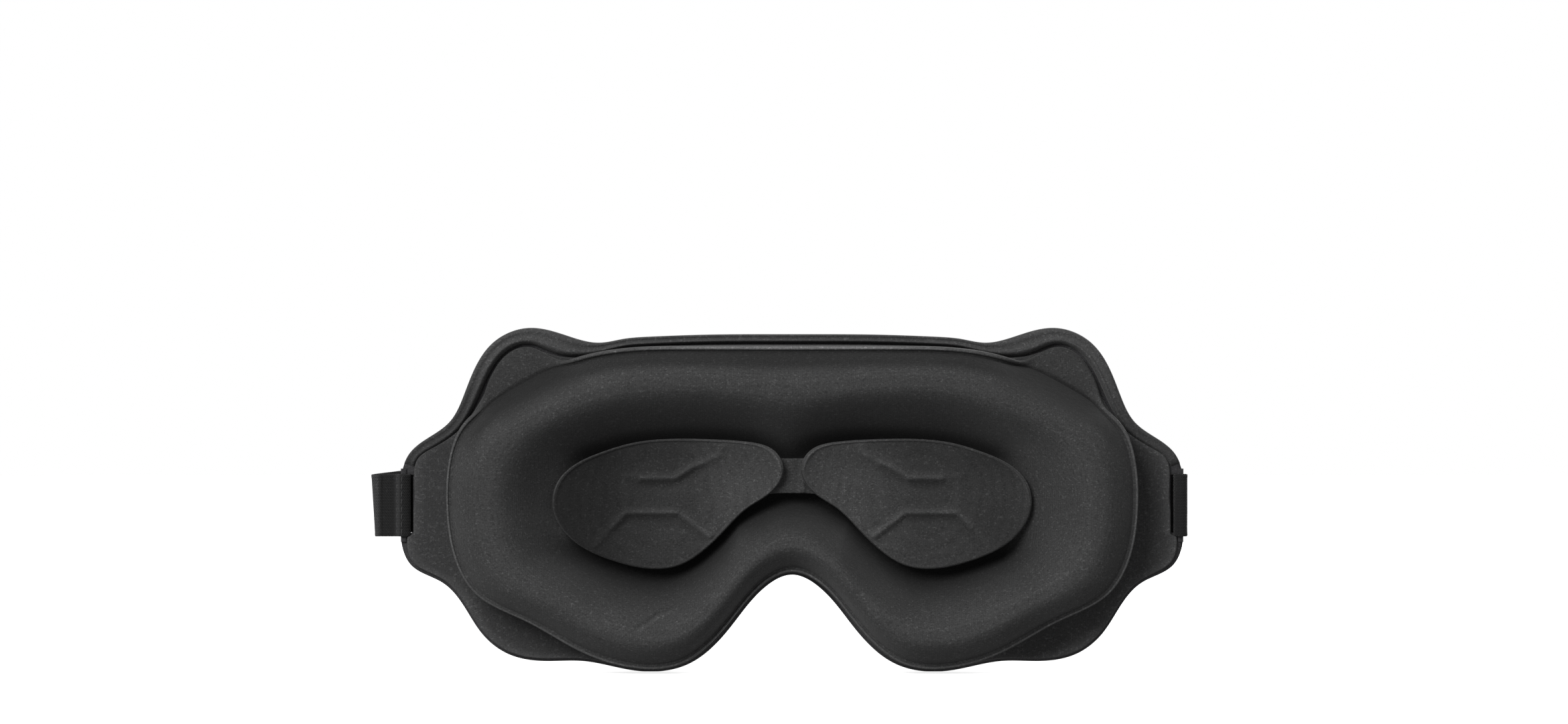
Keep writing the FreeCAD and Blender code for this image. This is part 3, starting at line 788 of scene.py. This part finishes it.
def build_plate(name, side):
    """Dished teardrop plate with raised ribs, a rolled lip and a soft surface."""
    count = 480
    line = plate_line(count)
    middle = PLATE_CENTRE

    def face_y(points):
        away = np.sum((points - middle) ** 2, axis=1)
        return PLATE_FACE_Y + away / (2 * PLATE_DISH_R)

    plan, depth, tone = [], [], []
    shares = np.concatenate([[0.004], np.linspace(0.02, 0.93, 104), np.linspace(0.94, 0.985, 12)])
    lower = smooth_step(-0.25, 0.6, -outward(line)[:, 1])
    for share in shares:
        points = middle + (line - middle) * share
        ribs = rib_height(points) * (1 - smooth_step(0.9, 0.97, share))
        lip = (0.12 + 0.38 * lower) * math.exp(-((share - 0.972) / 0.014) ** 2)
        drape = 0.22 * ripple(points, 9.0, 4.4 + side)
        plan.append(points)
        depth.append(face_y(points) + ribs + lip + drape)
        shade = np.interp(points[:, 0], PLATE_SHADE_X, PLATE_SHADE[side])
        # Painted highlight on the ribs and the lower lip, painted shade in the hollows below the ribs and
        # towards the top of the plate.
        shade *= (1 + 0.55 * ribs) * (1 + 1.6 * lip * lower) * (1 - 0.18 * smooth_step(4, 18, points[:, 1]))
        tone.append(shade)
    # The rolled lip: painted highlight on its lower edge and painted shade on its upper edge and underside;
    # the back below is in painted shade too.
    for step in np.linspace(0.1, math.pi, 12):
        plan.append(middle + (line - middle) * (0.985 + 0.015 * math.sin(step)))
        y = face_y(plan[-1]) + 0.22 * ripple(plan[-1], 9.0, 4.4 + side)
        depth.append(y - PLATE_WALL / 2 + PLATE_WALL / 2 * math.cos(step))
        tone.append((0.6 + 0.7 * lower) if step < 1.5 else np.full(count, 0.5))
    for share in (0.9, 0.5, 0.004):
        plan.append(middle + (line - middle) * share)
        depth.append(face_y(plan[-1]) - PLATE_WALL)
        tone.append(np.full(count, 0.6))
    vertices = plan_grid(np.array(plan) * (side, 1), np.array(depth))
    return make_mesh(name, vertices, capped_grid(len(plan), count), PLATE_KNIT, tone=tone)


def build_pad(name, side):
    """Foam riser between a plate and the lining, waisted in the middle of its height."""
    count = 160
    line = plate_line(count)
    plan, depth = [], []
    top = PLATE_FACE_Y - PLATE_WALL - 0.1
    for share, level in (
        (0.004, 0.0), (0.6, 0.0), (0.65, 0.03), (0.66, 0.12), (0.64, 0.35), (0.635, 0.5),
        (0.64, 0.65), (0.66, 0.88), (0.65, 0.97), (0.6, 1.0), (0.004, 1.0),
    ):
        plan.append(PLATE_CENTRE + (line - PLATE_CENTRE) * share)
        depth.append(np.full(count, LINING_FACE_Y + (top - LINING_FACE_Y) * level))
    vertices = plan_grid(np.array(plan) * (side, 1), np.array(depth))
    return make_mesh(name, vertices, capped_grid(len(plan), count), FOAM)


def build_bridge():
    """Soft strip between the plates, waisted, with one fold line."""
    xs = np.linspace(-BRIDGE_HALF, BRIDGE_HALF, 90)
    flare = np.abs(xs / BRIDGE_HALF) ** 3
    top, bottom = [], []
    for z in np.linspace(0, 1, 50):
        low = 4.1 - 0.5 * flare
        high = 15.1 + 0.9 * flare
        rounding = 1 - (2 * abs(z - 0.5)) ** 12
        fold = 0.5 * np.exp(-((xs + 3.4 + 0.4 * z) / 0.8) ** 2) - 0.35 * np.exp(-((xs + 1.9) / 1.2) ** 2)
        crown = 0.25 * np.cos(xs / BRIDGE_HALF * math.pi / 2)
        y = BRIDGE_Y + 0.25 * rounding + fold * rounding + crown
        zs = low + (high - low) * z
        top.append(np.stack([xs, y, zs], axis=-1))
        bottom.append(np.stack([xs, y - 0.5 - 0.6 * rounding, zs], axis=-1))
    rows = np.array(top + bottom[::-1])
    faces = sealed_strip(len(rows), len(xs))
    return make_mesh("bridge_strip_knit", rows.reshape(-1, 3), faces, PLATE_KNIT)


# ---------------------------------------------------------------- straps

def turned(points, axis, angle):
    """Points turned about an axis through the origin."""
    axis = np.array(axis, float) / np.linalg.norm(axis)
    points = np.asarray(points, float)
    cross = np.cross(axis, points)
    along = np.outer(points @ axis, axis)
    return points * math.cos(angle) + cross * math.sin(angle) + along * (1 - math.cos(angle))


FOLD_LINE = np.array([math.sin(SLANT), 0.0, math.cos(SLANT)])
LEFT_HINGE = np.array([FOLD_X, BAR_Y - FOLD_GAP / 2, 0.0])


def left_place(points):
    """From the folded left strap's own frame to the mask."""
    points = turned(points, (0, 1, 0), 2 * SLANT)
    return turned(points, FOLD_LINE, SLOPE) + LEFT_HINGE


def right_place(points):
    """From the turned-back right strap's own frame to the mask."""
    return turned(points, (0, 0, 1), -SLOPE) + np.array([-BAR_X, BAR_Y, 0.0])


def band(name, path, place, wave=0.12, seed=0.0, twist=None, tone=None):
    """A flat elastic band along a path of (x, y) points, with rounded selvages, put where place says."""
    half = STRAP_HALF
    path = np.asarray(path, float)
    along = np.gradient(path, axis=0)
    along /= np.linalg.norm(along, axis=1)[:, None]
    normal = np.column_stack([-along[:, 1], along[:, 0]])
    run = np.concatenate([[0], np.cumsum(np.linalg.norm(np.diff(path, axis=0), axis=1))])
    thick = STRAP_T / 2
    flat = half - SELVAGE
    upper = [(w * flat, thick * (1.0 + 0.12 * (abs(w) > 0.9))) for w in np.linspace(-1, 1, 33)]
    side = [(flat + SELVAGE * math.cos(a), thick * math.sin(a)) for a in (0.9, 0.3, -0.3, -0.9)]
    lower = [(w, -t) for w, t in reversed(upper)]
    other = [(-w, -t) for w, t in side]
    section = np.array(upper + side + lower + other)
    vertices, uv = [], []
    for i, (point, across) in enumerate(zip(path, normal)):
        flutter = wave * math.sin(run[i] / 9.0 + seed)
        lift = section[:, 1] + flutter * (section[:, 0] / half) ** 2 * 0.6
        ring = np.column_stack([point[0] + across[0] * lift, point[1] + across[1] * lift, section[:, 0]])
        if twist is not None:
            ring = twist(ring, i / (len(path) - 1))
        vertices.append(ring)
        uv.append(np.column_stack([np.full(len(section), run[i]), section[:, 0] + section[:, 1]]))
    vertices = place(np.array(vertices).reshape(-1, 3))
    faces = capped_grid(len(path), len(section))
    if tone is not None:
        tone = np.repeat(tone(path), len(section))
    return make_mesh(name, vertices, faces, ELASTIC, np.array(uv).reshape(-1, 2), tone)


def turn_path(centre, radius, start, end):
    """A straight lead-in, an arc and a straight lead-out; angles are in degrees."""
    angle = np.radians(np.linspace(start, end, 40))
    arc = np.column_stack([centre[0] + radius * np.cos(angle), centre[1] + radius * np.sin(angle)])
    sign = 1 if end > start else -1
    head = sign * np.array([-math.sin(angle[0]), math.cos(angle[0])])
    tail = sign * np.array([-math.sin(angle[-1]), math.cos(angle[-1])])
    lead = [arc[0] - head * d for d in np.linspace(FOLD_LEAD, 0.1, 6)]
    out = [arc[-1] + tail * d for d in np.linspace(0.1, FOLD_LEAD, 6)]
    return np.vstack([lead, arc, out])


def stitches(name, rows, place):
    """Sewing stitches: a row has its start, step and count, and a stitch's direction, length and up."""
    vertices, faces = [], []
    sides, rings = 8, 9
    for start, step, count, direction, length, up in rows:
        direction, up = np.array(direction, float), np.array(up, float)
        across = np.cross(direction, up)
        for k in range(count):
            centre = np.array(start) + np.array(step) * k
            first = len(vertices)
            for r in range(rings):
                u = -1 + 2 * r / (rings - 1)
                lift = 0.28 * (1 - u * u) - 0.12
                thin = THREAD_R * math.sqrt(max(0.05, 1 - u**4))
                at = centre + direction * u * length / 2
                for s in range(sides):
                    a = 2 * math.pi * s / sides
                    vertices.append(at + up * (lift + thin * math.sin(a)) + across * thin * math.cos(a))
            faces += [tuple(first + i for i in f) for f in capped_grid(rings, sides)]
    return make_mesh(name, place(np.array(vertices)), faces, THREAD)


def seam(name, spots, length, up, place):
    """Two rows of stitches across the band, at (x, y) spots."""
    rows = [((x, y, SEAM_START), (0, 0, SEAM_PITCH), SEAM_STITCHES, (0, 0, 1), length, up) for x, y in spots]
    return stitches(name, rows, place)


def patch_thread(name, centre_x, back_y, place):
    """Stitch rows on the border of a fastener patch that faces -Y in its strap's frame."""
    up, y, half_pitch = (0, -1, 0), back_y - PATCH_BORDER * PATCH_THICK, PATCH_PITCH / 2
    rows = []
    many = int((PATCH_LENGTH - 3.0) // PATCH_PITCH)
    start = centre_x - (many - 1) * half_pitch
    for z in (PATCH_WIDTH / 2 - 1.2, -PATCH_WIDTH / 2 + 1.2):
        rows.append(((start, y, z), (PATCH_PITCH, 0, 0), many, (1, 0, 0), PATCH_STITCH, up))
    few = int((PATCH_WIDTH - 3.6) // PATCH_PITCH)
    start = -(few - 1) * half_pitch
    for x in (centre_x - PATCH_LENGTH / 2 + 1.1, centre_x + PATCH_LENGTH / 2 - 1.1):
        rows.append(((x, y, start), (0, 0, PATCH_PITCH), few, (0, 0, 1), PATCH_STITCH, up))
    return stitches(name, rows, place)


def patch(name, centre_x, back_y, place, material):
    """A fastener patch with rounded corners and a sewn-down border, facing -Y in its strap's frame."""
    count = 240
    angle = np.linspace(0, 2 * math.pi, count, endpoint=False)
    shape = np.stack([np.cos(angle), np.sin(angle)], axis=-1)
    shape = np.sign(shape) * np.abs(shape) ** 0.16 * (PATCH_LENGTH / 2, PATCH_WIDTH / 2) * 0.97
    rows = []
    for share, level in (
        (0.02, 0.0), (1.0, 0.0), (1.0, 0.35), (0.985, 0.55), (0.955, 0.62), (0.93, 0.6),
        (0.905, 0.66), (0.885, 0.85), (0.86, 0.98), (0.8, 1.0), (0.5, 1.0), (0.02, 1.0),
    ):
        ring = shape * share
        if share > 0.3:
            ring = np.sign(shape) * np.maximum(np.abs(shape) - (1 - share) * PATCH_WIDTH / 2, 0)
        y = np.full(count, back_y - PATCH_THICK * level)
        rows.append(np.column_stack([centre_x + ring[:, 0], y, ring[:, 1]]))
    vertices = place(np.array(rows).reshape(-1, 3))
    return make_mesh(name, vertices, capped_grid(len(rows), count), material)


def sewn_patch(word, slot, material, centre_x, back_y, body, place):
    piece = patch(f"{word}_patch_tape", centre_x, back_y, place, material)
    on_body(piece, body, slot, f"{word}_patch")
    piece = patch_thread(f"{word}_patch_thread", centre_x, back_y, place)
    on_body(piece, body, "thread", f"{word}_patch_stitches")


def as_is(points):
    return np.asarray(points, float)


def lie_flat(piece, x, high, low, place):
    """Gives a fold's turn its own copy of its mesh; the point on the plane of the run that carries it is
    worked out but not used.
    """
    keep = STRAP_T / (high - low + STRAP_T)
    level = high + (high - low) / 2 * keep / (1 - keep)
    anchor, ahead = place(np.array([(x, level, 0.0), (x, level + 1.0, 0.0)]))
    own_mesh(piece)


def on_body(piece, body, slot, *nodes):
    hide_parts(*nodes)
    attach(piece, body)


def on_mask(piece, slot, *nodes, fill=None):
    on_body(piece, "mask", slot, *nodes)


def build_left_strap():
    top, under, r = BAR_Y + STRAP_T / 2, BAR_Y - STRAP_T / 2, LOOP_R
    loop = open_spline([
        (129.5, under), (127.6, under - 0.05), (126.0, BAR_Y - 1.15), (BAR_X + 0.3, BAR_Y - r),
        (BAR_X - 1.2, BAR_Y - 1.25), (BAR_X - r, BAR_Y), (BAR_X - 1.25, BAR_Y + 1.2),
        (BAR_X + 0.2, BAR_Y + r), (BAR_X + 1.65, BAR_Y + 1.1), (127.4, top + 0.02), (129.0, top),
        (FOLD_X - 0.9, top)], 150)

    # Painted highlight on the loop's hump beside the slot.
    def loop_highlight(path):
        return 1 + 2.0 * np.exp(-((path[:, 0] - 125.9) / 0.7) ** 2) * (path[:, 1] > BAR_Y)

    on_body(band("strap_left_loop_band", loop, as_is, wave=0.0, tone=loop_highlight),
            "left_strap_stub", "elastic", "strap_left_loop")
    spots = ((BAR_X + 2.3, top + 0.62), (BAR_X + 0.5, BAR_Y + r + STRAP_T / 2 - 0.05))
    on_body(seam("strap_left_seam_thread", spots, 1.9, (0, 1, 0), as_is),
            "left_strap_stub", "thread", "strap_left_seam")

    radius = FOLD_GAP / 2 + STRAP_T / 2
    arc = turn_path((0, 0), radius, 90, math.degrees(SLOPE) - 90)
    # The fold's outer turn carries a painted highlight.
    piece = band(
        "strap_left_fold_1", arc, lambda points: points + LEFT_HINGE, wave=0.0,
        twist=lambda ring, share: turned(ring, (0, 1, 0), 2 * SLANT * share),
        tone=lambda path: 1 + 2.6 * smooth_step(-0.8, 0.6, path[:, 0]))
    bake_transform(piece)

    step = STRAP_T + LEFT_RUN_GAP
    levels = [-radius, -radius - step, -radius - 2 * step]
    near, far = -1.6, -LEFT_RUN + 0.6
    for number, ends in enumerate(((far, -0.6), (far, near), (-LEFT_RUN + 3.0, near))):
        name = f"strap_left_run_{number + 1}"
        path = np.column_stack([np.linspace(*ends, 110), np.full(110, levels[number])])
        on_body(band(f"{name}_band", path, left_place, seed=float(number)),
                f"left_strap_run_{number + 1}", "elastic", name)
    for name, x, (high, low), body, end in (
        ("strap_left_fold_2", -LEFT_RUN, levels[:2], "left_strap_run_1", 270),
        ("strap_left_fold_3", -1.0, levels[1:], "left_strap_run_2", -90),
    ):
        path = turn_path((x, (high + low) / 2), step / 2, 90, end)
        piece = band(name, path, left_place, wave=0.0)
        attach(piece, body)
        lie_flat(piece, x, high, low, left_place)

    centre = -LEFT_RUN + 4.0 + PATCH_LENGTH / 2
    sewn_patch("hook", "hook", HOOKS, centre, levels[2] - STRAP_T / 2, "left_strap_run_3", left_place)


def build_right_strap():
    run_y = -RIGHT_DROP - STRAP_T / 2
    end_y = run_y - STRAP_T
    r = LOOP_R
    loop = open_spline([
        (12.0, end_y), (5.0, end_y), (1.6, end_y + 0.15), (-0.6, end_y + 1.3), (-1.6, -1.3),
        (-r, 0.0), (-1.25, 1.2), (0.0, r), (1.25, 1.2), (r, 0.0), (1.95, -1.3), (2.75, -2.65),
        (4.6, run_y), (8.0, run_y), (12.6, run_y)], 170)
    on_body(band("strap_right_loop_band", loop, right_place, wave=0.0),
            "right_strap_run_1", "elastic", "strap_right_loop")
    spots = [(x, end_y - STRAP_T / 2) for x in (5.0, 8.0)]
    on_body(seam("strap_right_seam_thread", spots, 1.7, (0, -1, 0), right_place),
            "right_strap_run_1", "thread", "strap_right_seam")

    second = run_y - STRAP_T - RIGHT_RUN_GAP
    for number, start, level, count, seed in ((1, 12.4, run_y, 100, 0.0), (2, 3.0, second, 110, 1.5)):
        name = f"strap_right_run_{number}"
        path = np.column_stack([np.linspace(start, RIGHT_RUN - 0.6, count), np.full(count, level)])
        on_body(band(f"{name}_band", path, right_place, seed=seed),
                f"right_strap_run_{number}", "elastic", name)
    path = turn_path((RIGHT_RUN, (run_y + second) / 2), (run_y - second) / 2, 90, -90)
    piece = band("strap_right_fold", path, right_place, wave=0.0)
    start, end = right_place(np.array([(RIGHT_RUN, run_y, 0.0), (RIGHT_RUN, second, 0.0)])) * MM
    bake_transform(piece)

    centre = 4.0 + PATCH_LENGTH / 2
    sewn_patch("loop", "pile", PILE, centre, second - STRAP_T / 2, "right_strap_run_2", right_place)


# ---------------------------------------------------------------- the mask

on_mask(build_outer_cover(), "outer_fabric", "outer_cover", "blackout_core", fill=0.9)
on_mask(build_lining(), "lining_fabric", "inner_lining")
rim_height = np.interp(np.abs(edge[:, 0]), [0, 58, 72, 104, 112, 126], [2.7, 2.7, 3.1, 3.1, 2.2, 1.6])
upper_edge = edge[:, 1] > 12.8
on_mask(build_rim("rolled_rim_edge", upper_edge, rim_height), "rim_fabric", "rolled_rim")
on_mask(build_cushion(), "cushion_fabric", "cushion_cover", "cushion_core",
        "ear_flange_left", "ear_flange_right", fill=0.9)
for side, word in ((1, "left"), (-1, "right")):
    plate = build_plate(f"eye_plate_{word}_knit", side)
    on_mask(plate, "plate_fabric", f"eye_plate_{word}", fill=0.8)
    on_mask(build_pad(f"plate_pad_{word}_foam", side), "foam", f"plate_pad_{word}", fill=1.0)
on_mask(build_bridge(), "plate_fabric", "bridge_strip")
build_left_strap()
build_right_strap()


# ---------------------------------------------------------------- stage, light, camera

FLOOR_Z = -53.2
# In metres: the camera's distance from the mask's plane at MASK_Y, which fills FRAME_WIDTH.
CAMERA_AWAY = 1.70
CAMERA_X, CAMERA_Z = 0.0026, 0.0458
MASK_Y = -0.022
FRAME_WIDTH = 0.5012
SENSOR_MM = 36.0
FLOOR_RADIUS = 3.0
LIGHT_AWAY = 1.7
LIGHT_AIM = (0, -0.015, 0)


def build_floor():
    mesh = bpy.data.meshes.new("floor")
    ring = [(FLOOR_RADIUS * math.cos(a), FLOOR_RADIUS * math.sin(a), FLOOR_Z * MM)
            for a in np.linspace(0, 2 * math.pi, 96, endpoint=False)]
    mesh.from_pydata(ring, [], [tuple(range(96))])
    floor = bpy.data.objects.new("floor", mesh)
    bpy.context.scene.collection.objects.link(floor)
    floor.visible_diffuse = False
    floor.visible_glossy = False
    material, tree, shader = new_material("floor_paper", 0.9, 0.0)
    place = node(tree, "ShaderNodeTexCoord").outputs["Object"]
    grain = node(tree, "ShaderNodeTexNoise", Vector=place, Scale=900.0, Detail=4.0)
    paper = mix_colours(tree, grain.outputs["Fac"], (0.88, 0.88, 0.88, 1), (0.92, 0.92, 0.92, 1))
    tree.links.new(paper, shader.inputs["Base Color"])
    away = node(tree, "ShaderNodeVectorMath", operation="LENGTH", Vector=place)
    glow = ramp(tree, away.outputs["Value"], 0.15, 0.6, 0.8, 1.0)
    shader.inputs["Emission Color"].default_value = (1, 1, 1, 1)
    tree.links.new(glow, shader.inputs["Emission Strength"])
    mesh.materials.append(material)


def area_light(name, direction, size, power):
    data = bpy.data.lights.new(name, "AREA")
    data.shape = "DISK"
    data.size = size
    data.energy = power
    lamp = bpy.data.objects.new(name, data)
    bpy.context.scene.collection.objects.link(lamp)
    direction = Vector(direction).normalized()
    lamp.location = direction * LIGHT_AWAY + Vector(LIGHT_AIM)
    lamp.rotation_euler = direction.to_track_quat("Z", "Y").to_euler()


def build_world():
    world = bpy.data.worlds.new("studio")
    world.use_nodes = True
    tree = world.node_tree
    background = tree.nodes["Background"]
    background.inputs["Color"].default_value = (1, 1, 1, 1)
    seen = node(tree, "ShaderNodeLightPath").outputs["Is Camera Ray"]
    tree.links.new(ramp(tree, seen, 0.0, 1.0, 0.24, 1.0), background.inputs["Strength"])
    bpy.context.scene.world = world


def build_camera():
    data = bpy.data.cameras.new("camera")
    data.sensor_width = SENSOR_MM
    data.lens = SENSOR_MM * CAMERA_AWAY / FRAME_WIDTH
    data.clip_start, data.clip_end = 0.05, 50
    camera = bpy.data.objects.new("camera", data)
    bpy.context.scene.collection.objects.link(camera)
    camera.location = (CAMERA_X, CAMERA_AWAY + MASK_Y, CAMERA_Z)
    camera.rotation_euler = (math.pi / 2, 0, math.pi)
    bpy.context.scene.camera = camera


build_floor()
build_world()
build_camera()
area_light("key", (0.44, 0.75, 0.49), 1.0, 20)
area_light("fill", (-0.6, 0.7, -0.38), 1.4, 3.0)
area_light("back", (-0.35, -0.85, 0.25), 0.9, 14)
bpy.context.scene.view_settings.view_transform = "Standard"
